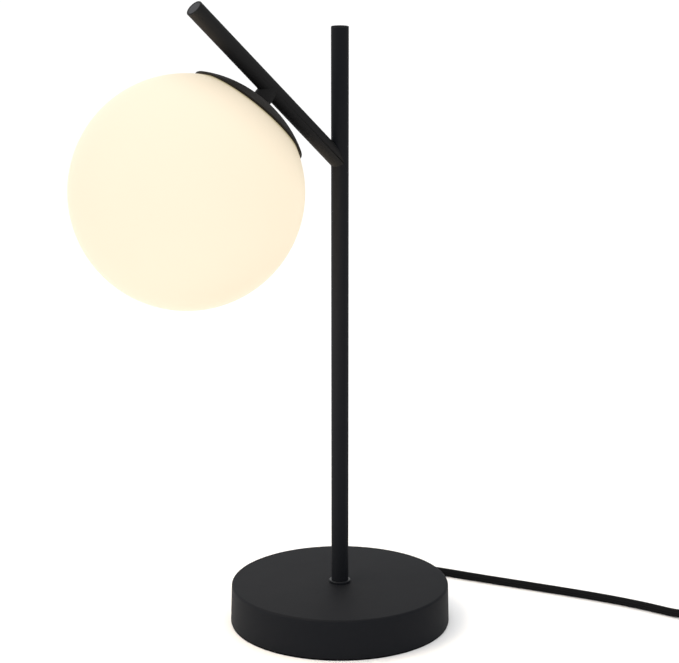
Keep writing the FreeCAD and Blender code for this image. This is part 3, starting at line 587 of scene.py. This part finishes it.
def braid(name, long):
    """Black textile braid for a flex of that length in metres."""
    material, tree, surface = new_material(name)
    effect = add(tree, "ShaderNodeGroup", {
        "Crossings along": long / (BRAID_CROSSING * MM), "Strands round": 10.0,
        "Colour": (*finish().flex, 1)}, node_tree=shared("Braid", braid_group))
    fluff = add(tree, "ShaderNodeTexNoise", {"Vector": add(tree, "ShaderNodeTexCoord").outputs["Object"],
                                              "Scale": 2500.0, "Detail": 2.0})
    height = maths(tree, "ADD", effect.outputs["Height"], maths(tree, "MULTIPLY", fluff.outputs["Fac"], 0.4))
    relief = add(tree, "ShaderNodeBump", {"Strength": 0.6, "Distance": 0.25 * MM, "Height": height})
    link(tree, effect.outputs["Colour"], surface.inputs["Base Color"])
    link(tree, relief.outputs["Normal"], surface.inputs["Normal"])
    surface.inputs["Roughness"].default_value = 0.8
    surface.inputs["Specular IOR Level"].default_value = 0.05
    return material


def plain_rubber(name, tint, rough=0.55):
    return grained(name, tint, grain=1500, shade=0.12, rough=rough, bump=0.12, depth=0.03, specular=0.35)


# ---- pieces -------------------------------------------------------------------------------------------
def keep(nodes, material):
    """Gives a better material to nodes of the frame whose own shape stays."""
    for name in nodes:
        mesh = frame["nodes"][name].data
        mesh.materials.clear()
        mesh.materials.append(material)


class LAMP_OT_base(bpy.types.Operator):
    """The coated base cover with its rounded upper edge, on its foot pad and bottom plate"""
    bl_idname = "lamp.base"
    bl_label = "Base"

    def execute(self, context):
        top_round = settings().top_round / MM
        inner_round = top_round - COVER_WALL
        outline = rounded([
            (STUD_RADIUS, BASE_HEIGHT), (BASE_TOP_RADIUS, BASE_HEIGHT, top_round),
            (BASE_RADIUS, COVER_FOOT + COVER_HEM, COVER_HEM),
            (BASE_RADIUS - COVER_HEM, COVER_FOOT, COVER_FOOT_ROUND), (BASE_RADIUS - COVER_WALL, COVER_FOOT),
            (BASE_TOP_RADIUS - COVER_WALL, BASE_HEIGHT - COVER_WALL, inner_round),
            (STUD_RADIUS, BASE_HEIGHT - COVER_WALL)], steps=8)
        coat = powder_coat("Black powder coat", finish().coat)
        as_piece(turned(outline, steps=settings().lathe_steps * 3 // 2), "base_cover_skin", "lamp", coat,
                 nodes=["base_cover"])
        pad = rounded([(0, 0), (PAD_RADIUS, 0, PAD_ROUND), (PAD_RADIUS, PAD_TOP, PAD_ROUND), (0, PAD_TOP)],
                      closed=False)
        # Painted shadow: the pad's black rubber is made darker still, so that the gap under the cover's foot
        # shows as a black line.
        sole_with_painted_shadow = grained("Foot rubber darkened as painted shadow", (0.0015, 0.0015, 0.0016), grain=1800, shade=0.2, rough=0.9, bump=0.2,
                       depth=0.03, specular=0.02)
        as_piece(turned(pad, closed=False), "foot_pad_skin", "lamp", sole_with_painted_shadow, nodes=["foot_pad"])
        keep(["base_weight"], grained("Cast iron", (0.09, 0.088, 0.085), grain=700, shade=0.4, rough=0.7,
                                      bump=0.5, depth=0.2, metal=0.6))
        keep(["base_plate", "plate_screws", "clamp_screws", "terminal_screws", "pole_bush", "pole_stud",
              "pole_washer", "pole_nut"], zinc_plate())
        keep(["cord_clamp", "terminal_block"], plain_rubber("Cream nylon", (0.62, 0.58, 0.48)))
        keep(["inner_cord"], plain_rubber("Black inner flex", (0.015, 0.015, 0.016)))
        keep(["live_lead"], plain_rubber("Brown lead", (0.12, 0.045, 0.02), 0.4))
        keep(["neutral_lead"], plain_rubber("Blue lead", (0.03, 0.10, 0.32), 0.4))
        return {"FINISHED"}


class LAMP_OT_grommet(bpy.types.Operator):
    """The ribbed, tapered rubber grommet that the flex leaves the base through"""
    bl_idname = "lamp.grommet"
    bl_label = "Grommet"

    def execute(self, context):
        inside = BASE_RADIUS - COVER_WALL - GROMMET_CLEARANCE
        outside = BASE_RADIUS - COVER_HEM
        corners = [(0, GROMMET_START), (GROMMET_RADIUS, GROMMET_START, GROMMET_FLANGE_ROUND),
                   (GROMMET_RADIUS, inside), (GROMMET_GROOVE, inside), (GROMMET_GROOVE, outside),
                   (GROMMET_RADIUS, outside, COVER_HEM),
                   (GROMMET_RADIUS, BASE_RADIUS + GROMMET_FLANGE, GROMMET_FLANGE_ROUND)]
        first = BASE_RADIUS + FIRST_RIB
        step = (GROMMET_END - first) / RIB_COUNT
        for k in range(RIB_COUNT):
            start = first + k * step
            taper = (GROMMET_TIP_RADIUS - GROMMET_RADIUS) * (start - first + step) / (RIB_COUNT * step)
            radius = GROMMET_RADIUS + taper
            groove = radius - RIB_DEPTH
            corners += [(groove, start, RIB_ROUND), (groove, start + RIB_GAP, RIB_ROUND),
                        (radius, start + RIB_START, RIB_ROUND), (radius, start + step - RIB_BACK, RIB_ROUND)]
        corners += [(GROMMET_TIP_RADIUS - GROMMET_FLANGE_ROUND, GROMMET_END), (0, GROMMET_END)]
        way = along(Vector((0, 0, EXIT_HEIGHT * MM)), Vector((0, 1, 0)))
        as_piece(turned(rounded(corners, closed=False), closed=False, steps=GROMMET_STEPS),
                 "cord_grommet_skin", "lamp", soft_rubber(), place=way,
                 nodes=["cord_grommet"])
        return {"FINISHED"}


def end_plug(face):
    """A flush plug, as a turned bmesh, for a tube that ends that many mm along its axis."""
    top = face - PLUG_SUNK
    inner = TUBE_RADIUS - TUBE_WALL
    outline = rounded([(0, top - PLUG_THICK), (inner, top - PLUG_THICK), (inner, top, PLUG_ROUND), (0, top)],
                      closed=False)
    return turned(outline, closed=False, steps=TUBE_STEPS)


class LAMP_OT_pole(bpy.types.Operator):
    """The pole on its collar and the arm across it, each closed by a flush end plug"""
    bl_idname = "lamp.pole"
    bl_label = "Pole and arm"

    def execute(self, context):
        edge = settings().tube_edge / MM
        inner = TUBE_RADIUS - TUBE_WALL
        collar = rounded([(STUD_RADIUS, BASE_HEIGHT), (COLLAR_RADIUS, BASE_HEIGHT),
                          (COLLAR_RADIUS, POLE_FOOT, COLLAR_ROUND), (STUD_RADIUS, POLE_FOOT)], steps=6)
        satin = grained("Black satin ring", finish().coat, grain=3000, shade=0.1, rough=0.3, bump=0.08,
                        depth=0.02, specular=0.18)
        as_piece(turned(collar, steps=RING_STEPS), "pole_collar_skin", "lamp", satin,
                 nodes=["pole_collar"])
        pole = rounded([(inner, POLE_FOOT), (TUBE_RADIUS, POLE_FOOT), (TUBE_RADIUS, POLE_TOP, edge),
                        (inner, POLE_TOP, TUBE_BORE_ROUND)])
        coat = powder_coat("Black powder coat", finish().coat)
        as_piece(turned(pole, steps=TUBE_STEPS), "pole_tube_skin", "lamp", coat,
                 nodes=["pole_tube"])
        # The arm and the knuckle get the coat with painted light from the globe in its colour.
        lit = powder_coat("Black powder coat with painted light on the arm", finish().coat_with_painted_arm_light)
        dress("arm_tube", "lamp", lit)
        dress("arm_knuckle", "lamp", lit)
        grey = grained("Grey end plug", (0.060, 0.060, 0.063), grain=3000, shade=0.2, rough=0.75, bump=0.15,
                       depth=0.02, specular=0.08)
        dark = grained("Dark end plug", (0.004, 0.004, 0.0045), grain=3000, shade=0.2, rough=0.9, bump=0.15,
                       depth=0.02, specular=0.02)
        as_piece(end_plug(POLE_TOP), "pole_top_plug_skin", "lamp", dark,
                 nodes=["pole_top_plug"])
        as_piece(end_plug(ARM_LONG), "arm_end_plug_skin", "lamp", grey, place=on_arm(),
                 nodes=["arm_end_plug"])
        return {"FINISHED"}


def angle_of(distance, radius):
    """Degrees from the drop axis at which a sphere about the globe's centre is that far from the axis."""
    return math.degrees(math.asin(distance / radius))


def angle_at(below_arm, radius):
    """Degrees from the drop axis at which a sphere about the globe's centre is that far below the arm."""
    return math.degrees(math.acos((GLOBE_DROP - below_arm) / radius))


def cap_outline():
    """The pressed cap: its crown a little flatter than a sphere, its middle a low seat for the knuckle."""
    inner = CAP_OUTER - CAP_WALL
    rim = CAP_HALF_ANGLE
    seat = angle_of(KNUCKLE_RADIUS, CAP_OUTER)
    cap = sphere_arc(CAP_OUTER, angle_of(STUD_RADIUS, CAP_OUTER), seat, SEAT_ARC_STEPS)
    for k in range(CAP_ARC_STEPS + 1):
        angle = seat + (rim - CAP_RIM_STEP - seat) * k / CAP_ARC_STEPS
        swell = math.sin(math.radians(90 * angle / rim))
        cap.append(sphere_point(CAP_CROWN + (CAP_OUTER - CAP_CROWN) * swell, angle))
    cap += [sphere_point(CAP_OUTER - CAP_RIM_ROUND, rim), sphere_point(inner + CAP_RIM_ROUND, rim)]
    return cap + sphere_arc(inner, rim - CAP_RIM_STEP, angle_of(STUD_RADIUS, inner), CAP_ARC_STEPS)


def globe_outline():
    """The blown globe, with its flat shoulder and its straight open neck."""
    hollow = GLOBE_OUTER - GLASS_WALL
    shoulder = MOUTH_FLAT + GLASS_WALL
    neck = MOUTH_RADIUS + GLASS_WALL
    globe = sphere_arc(GLOBE_OUTER, 180, angle_at(MOUTH_FLAT, GLOBE_OUTER), GLOBE_ARC_STEPS)
    globe += rounded([
        globe[-1], (MOUTH_RADIUS, MOUTH_FLAT, MOUTH_ROUND), (MOUTH_RADIUS, NECK_END, NECK_ROUND),
        (neck, NECK_END, NECK_ROUND), (neck, shoulder)], closed=False)[1:]
    return globe + sphere_arc(hollow, angle_at(shoulder, hollow), 180, GLOBE_ARC_STEPS)


class LAMP_OT_shade(bpy.types.Operator):
    """The coated cap, the lit opal globe under it with its open neck, and the gasket between them"""
    bl_idname = "lamp.shade"
    bl_label = "Cap and globe"

    def execute(self, context):
        # The cap's coat carries painted warm light from the globe in its colour.
        coat = powder_coat("Black powder coat with painted warm glow", finish().coat_with_painted_glow)
        as_piece(turned(cap_outline()), "shade_cap_skin", "lamp", coat, place=on_drop(),
                 nodes=["shade_cap"])
        as_piece(turned(globe_outline(), closed=False), "glass_globe_skin", "globe", opal_glass(),
                 place=on_drop(), nodes=["glass_globe"], smooth=50)
        bottom = MOUTH_FLAT - GASKET_GAP
        gasket = rounded([
            (GASKET_INNER, GASKET_TOP, GASKET_ROUND), (GASKET_OUTER, GASKET_TOP, GASKET_ROUND),
            (GASKET_OUTER, bottom, GASKET_ROUND), (GASKET_INNER, bottom, GASKET_ROUND)])
        as_piece(turned(gasket, steps=RING_STEPS), "neck_gasket_skin", "globe_seat",
                 plain_rubber("Pale silicone", (0.62, 0.62, 0.60), 0.35), place=on_drop(),
                 nodes=["neck_gasket"])
        return {"FINISHED"}


class LAMP_OT_fittings(bpy.types.Operator):
    """What carries the globe and the bulb: gallery, spring clips, holder, contacts and the bulb"""
    bl_idname = "lamp.fittings"
    bl_label = "Holder and bulb"

    def execute(self, context):
        zinc = zinc_plate()
        keep(["knuckle_nipple", "gallery_nut"], zinc)
        dress("globe_gallery", "lamp", zinc)
        dress("gallery_clips", "lamp", zinc)
        phenolic = grained("Black thermoset", (0.018, 0.017, 0.017), grain=3000, shade=0.1, rough=0.28,
                           bump=0.08, depth=0.02, specular=0.5)
        dress("holder_cup", "lamp", phenolic, softened=0.3)
        dress("holder_sleeve", "lamp", phenolic, softened=0.3)
        dress("holder_shell", "lamp", brass_strip())
        dress("holder_contact", "lamp", brass_strip())
        dress("bulb_tip", "bulb_foot", nickel_plate())
        dress("bulb_cap", "bulb", nickel_plate())
        dress("bulb_body", "bulb", plain_rubber("White bulb housing", (0.78, 0.77, 0.74), 0.35))
        dress("bulb_globe", "bulb", lit_bulb())
        return {"FINISHED"}


class LAMP_OT_switch(bpy.types.Operator):
    """The in-line rocker switch, with its sleeves, screws and works"""
    bl_idname = "lamp.switch"
    bl_label = "Switch"

    def execute(self, context):
        plastic = moulded_black()
        dress("switch_base", "lamp", plastic)
        dress("switch_top", "lamp", plastic)
        dress("switch_glands", "lamp", soft_rubber())
        glossy = grained("Rocker plastic", (0.03, 0.03, 0.032), grain=3500, rough=0.3, specular=0.45)
        dress("switch_rocker", "rocker", glossy, softened=0.35)
        keep(["switch_screws", "rocker_pin"], zinc_plate())
        keep(["switch_contacts"], brass_strip())
        return {"FINISHED"}


def in_plug():
    """The matrix that lays the plug's axis along its heading, from the flex's end to the pins."""
    lying = Matrix.Translation(Vector((*PLUG_TIP, PLUG_AXIS)) * MM)
    heading = Matrix.Rotation(math.radians(PLUG_HEADING), 4, "Z")
    return lying @ heading @ Matrix.Rotation(math.radians(90), 4, "Y")


def pin_outline():
    """A round pin with its recessed insulating sleeve, along the plug's axis."""
    slim = PIN_RADIUS - SLEEVE_DEPTH
    root = PLUG_LONG - PIN_ROOT
    tip = PLUG_LONG + PIN_LONG
    return rounded([
        (0, root), (PIN_RADIUS, root), (slim, PLUG_LONG + SLEEVE_START), (slim, PLUG_LONG + SLEEVE_END),
        (PIN_RADIUS, PLUG_LONG + SLEEVE_END + SLEEVE_STEP), (PIN_RADIUS, tip, PIN_TIP_ROUND), (0, tip)],
        closed=False)


class LAMP_OT_plug(bpy.types.Operator):
    """The flat two-pin plug with its tapered relief, and the band that ties the coiled flex"""
    bl_idname = "lamp.plug"
    bl_label = "Plug and tie"

    def execute(self, context):
        dress("plug_body", "lamp", moulded_black())
        dress("plug_relief", "lamp", soft_rubber())
        whole = bmesh.new()
        for side in (-1, 1):
            made = turned(pin_outline(), closed=False, steps=PIN_STEPS)
            bmesh.ops.translate(made, verts=made.verts, vec=(0, side * PIN_SPACING / 2 * MM, 0))
            spare = bpy.data.meshes.new("pin")
            made.to_mesh(spare)
            made.free()
            whole.from_mesh(spare)
            bpy.data.meshes.remove(spare)
        sleeve_end = (PLUG_LONG + SLEEVE_END) * MM
        for face in whole.faces:
            face.material_index = int(face.calc_center_median().z < sleeve_end)
        pins = as_piece(whole, "plug_pins_skin", "lamp", nickel_plate(), place=in_plug(),
                        nodes=["plug_pins"])
        pins.data.materials.append(moulded_black())
        band = grained("Black hook and loop", (0.016, 0.016, 0.017), grain=1200, shade=0.5, rough=0.9,
                       bump=0.8, depth=0.2, specular=0.2)
        dress("coil_tie", "lamp", band, softened=0.25)
        return {"FINISHED"}


def coil_place(degrees):
    """Radius and height of the coil's centre line at an angle along it: inwards, up, and out again."""
    layer = COIL_TURNS_PER_LAYER * 360
    if degrees <= layer:
        return COIL_INNER + COIL_PITCH * (layer - degrees) / 360, COIL_LOW
    if degrees >= layer + 180:
        return COIL_INNER + COIL_PITCH * (degrees - layer - 180) / 360, COIL_LOW + COIL_LAYER
    part = (degrees - layer) / 180
    rise = part ** 2 * (3 - 2 * part)
    return COIL_INNER - COIL_DIP * math.sin(math.pi * part), COIL_LOW + COIL_LAYER * rise


def coil_corners():
    """The coil's turns, pushed out a little because the spline cuts inside its control points."""
    step = 360 / COIL_POINTS_PER_TURN
    push = 2 / (1 + math.cos(math.radians(step / 2)))
    corners = []
    for k in range(round((2 * COIL_TURNS_PER_LAYER * 360 + 180) / step) + 1):
        radius, height = coil_place(k * step)
        angle = math.radians(k * step)
        corners.append((COIL_CENTRE[0] + radius * push * math.cos(angle),
                        COIL_CENTRE[1] + radius * push * math.sin(angle), height))
    return corners


def flex(name, corners, long, nodes):
    """A free stretch of the braided flex, on one smooth spline."""
    curve = bpy.data.curves.new(name, "CURVE")
    curve.dimensions = "3D"
    curve.bevel_depth = CORD_RADIUS * MM
    curve.bevel_resolution = 5
    curve.resolution_u = 10
    curve.use_fill_caps = True
    spline = curve.splines.new("NURBS")
    spline.points.add(len(corners) - 1)
    for point, corner in zip(spline.points, corners):
        point.co = (*(Vector(corner) * MM), 1)
    spline.order_u = 3
    spline.use_endpoint_u = True
    curve.materials.append(braid(name + " braid", long))
    piece = bpy.data.objects.new(name, curve)
    bpy.context.scene.collection.objects.link(piece)
    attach(piece, "lamp")
    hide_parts(*nodes)
    return piece


class LAMP_OT_flex(bpy.types.Operator):
    """The braided flex: from the grommet to the switch, and on through its coil to the plug"""
    bl_idname = "lamp.flex"
    bl_label = "Flex"

    def execute(self, context):
        first = flex("flex_to_switch", CORD_ROUTE, FLEX_TO_SWITCH, ["mains_cord"])
        second = flex("flex_to_plug", LINK_ROUTE + coil_corners() + TAIL_ROUTE, FLEX_TO_PLUG,
                      ["cord_link", "mains_cord_coil", "cord_tail"])
        return {"FINISHED"}


def soft_light(name, spot, aim, size, power, diffuse=True, gloss=True):
    """An area light at a spot seen from the camera: right, away and up, in metres from the pole's foot."""
    turn = Matrix.Rotation(bpy.context.scene.lamp_stage.azimuth, 4, "Z")
    lamp = bpy.data.lights.new(name, "AREA")
    lamp.shape = "RECTANGLE"
    lamp.size, lamp.size_y = size
    lamp.energy = power
    light = bpy.data.objects.new(name, lamp)
    light.location = turn @ Vector(spot)
    way = turn @ Vector(aim) - light.location
    light.rotation_euler = way.to_track_quat("-Z", "Y").to_euler()
    bpy.context.scene.collection.objects.link(light)
    light.visible_camera = False
    light.visible_diffuse = diffuse
    light.visible_glossy = gloss


def bulb_light():
    """The warm light that the globe gives its neighbours, as a soft sphere within it."""
    lamp = bpy.data.lights.new("Bulb light", "POINT")
    lamp.energy = finish().bulb_power
    lamp.color = finish().bulb_tint
    lamp.shadow_soft_size = 0.9 * GLOBE_OUTER * MM
    light = bpy.data.objects.new("Bulb light", lamp)
    light.location = KNUCKLE + DROP * GLOBE_DROP * MM
    light.visible_camera = False
    bpy.context.scene.collection.objects.link(light)
    for name in ("glass_globe_skin", "bulb_globe_skin"):
        bpy.data.objects[name].visible_shadow = False


def floor_piece():
    """A wide plain disc under the lamp."""
    shape = bmesh.new()
    bmesh.ops.create_circle(shape, cap_ends=True, segments=96, radius=12.0)
    mesh = bpy.data.meshes.new("floor")
    shape.to_mesh(mesh)
    shape.free()
    mesh.materials.append(pale_floor())
    floor = bpy.data.objects.new("floor", mesh)
    bpy.context.scene.collection.objects.link(floor)


def white_world(azimuth):
    """A white backdrop, even light all round, and reflections that are brighter on the picture's left."""
    even_level = 1.12
    level_at_right = 0.66
    level_at_left = 1.42
    world = bpy.data.worlds.new("White studio")
    world.use_nodes = True
    tree = world.node_tree
    seen = tree.nodes["Background"]
    seen.inputs["Color"].default_value = (1, 1, 1, 1)
    seen.inputs["Strength"].default_value = 1.0
    left = Matrix.Rotation(azimuth, 3, "Z") @ Vector((-1, 0, 0))
    way = add(tree, "ShaderNodeTexCoord").outputs["Generated"]
    side = add(tree, "ShaderNodeVectorMath", {0: way, 1: left}, operation="DOT_PRODUCT").outputs["Value"]
    ray = add(tree, "ShaderNodeLightPath")
    share = add(tree, "ShaderNodeMapRange", {
        "Value": side, "From Min": -1.0, "From Max": 1.0,
        "To Min": level_at_right, "To Max": level_at_left}).outputs[0]
    level = add(tree, "ShaderNodeMix", {0: ray.outputs["Is Glossy Ray"], 2: even_level, 3: share},
                data_type="FLOAT")
    around = add(tree, "ShaderNodeBackground", {"Color": (1, 1, 1, 1), "Strength": level.outputs[0]})
    mix = add(tree, "ShaderNodeMixShader", {
        0: ray.outputs["Is Camera Ray"], 1: around.outputs[0], 2: seen.outputs[0]})
    link(tree, mix.outputs[0], tree.nodes["World Output"].inputs["Surface"])
    bpy.context.scene.world = world


def place_camera(stage):
    """The camera at the photograph's angle, turned about the pole."""
    camera = bpy.data.objects.new("Camera", bpy.data.cameras.new("Camera"))
    camera.data.sensor_width = 36.0
    camera.data.lens = stage.lens
    camera.data.shift_x = -0.0006
    camera.data.clip_start = 0.05
    camera.data.clip_end = 100.0
    spot = Vector((0, -stage.distance, stage.eye_height))
    camera.location = Matrix.Rotation(stage.azimuth, 4, "Z") @ spot
    camera.rotation_euler = (math.pi / 2 - stage.pitch, 0, stage.azimuth)
    bpy.context.scene.collection.objects.link(camera)
    bpy.context.scene.camera = camera


class LAMP_OT_stage(bpy.types.Operator):
    """Pale floor, white surroundings, soft light and the camera at the photograph's angle"""
    bl_idname = "lamp.stage"
    bl_label = "Stage"

    def execute(self, context):
        stage = context.scene.lamp_stage
        floor_piece()
        white_world(stage.azimuth)
        soft_light("Left window", spot=(-1.5, -0.5, 0.9), aim=(0, 0, 0.25), size=(0.8, 1.4), power=9.0,
                   diffuse=False)
        soft_light("Top softbox", spot=(-0.2, 0.3, 1.9), aim=(0, 0, 0), size=(1.4, 1.4), power=5.0)
        soft_light("Front fill", spot=(-0.5, -1.6, 0.7), aim=(-0.1, 0, 0.33), size=(0.8, 0.8), power=2.8,
                   gloss=False)
        bulb_light()
        place_camera(stage)
        context.scene.view_settings.view_transform = "Standard"
        return {"FINISHED"}


class LAMP_PT_panel(bpy.types.Panel):
    bl_idname = "LAMP_PT_panel"
    bl_label = "Glass globe table lamp"
    bl_space_type = "VIEW_3D"
    bl_region_type = "UI"
    bl_category = "Lamp"

    def draw(self, context):
        for group_name in SETTINGS:
            part = getattr(context.scene, group_name)
            box = self.layout.box()
            for prop in part.__annotations__:
                box.prop(part, prop)
        for operator in OPERATORS:
            self.layout.operator(operator.bl_idname)


SETTINGS = {"lamp_finish": LampFinish, "lamp_shape": LampShape, "lamp_stage": LampStage}
OPERATORS = (
    LAMP_OT_base, LAMP_OT_grommet, LAMP_OT_pole, LAMP_OT_shade, LAMP_OT_fittings, LAMP_OT_switch,
    LAMP_OT_plug, LAMP_OT_flex, LAMP_OT_stage)


def register():
    for name, kind in SETTINGS.items():
        bpy.utils.register_class(kind)
        setattr(bpy.types.Scene, name, PointerProperty(type=kind))
    for operator in OPERATORS:
        bpy.utils.register_class(operator)
    bpy.utils.register_class(LAMP_PT_panel)


def unregister():
    bpy.utils.unregister_class(LAMP_PT_panel)
    for operator in reversed(OPERATORS):
        bpy.utils.unregister_class(operator)
    for name, kind in SETTINGS.items():
        delattr(bpy.types.Scene, name)
        bpy.utils.unregister_class(kind)


def main():
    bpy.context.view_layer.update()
    register()
    for step in (bpy.ops.lamp.base, bpy.ops.lamp.grommet, bpy.ops.lamp.pole, bpy.ops.lamp.shade,
                 bpy.ops.lamp.fittings, bpy.ops.lamp.switch, bpy.ops.lamp.plug, bpy.ops.lamp.flex,
                 bpy.ops.lamp.stage):
        step()
    bpy.context.view_layer.update()


if __name__ == "__main__":
    main()
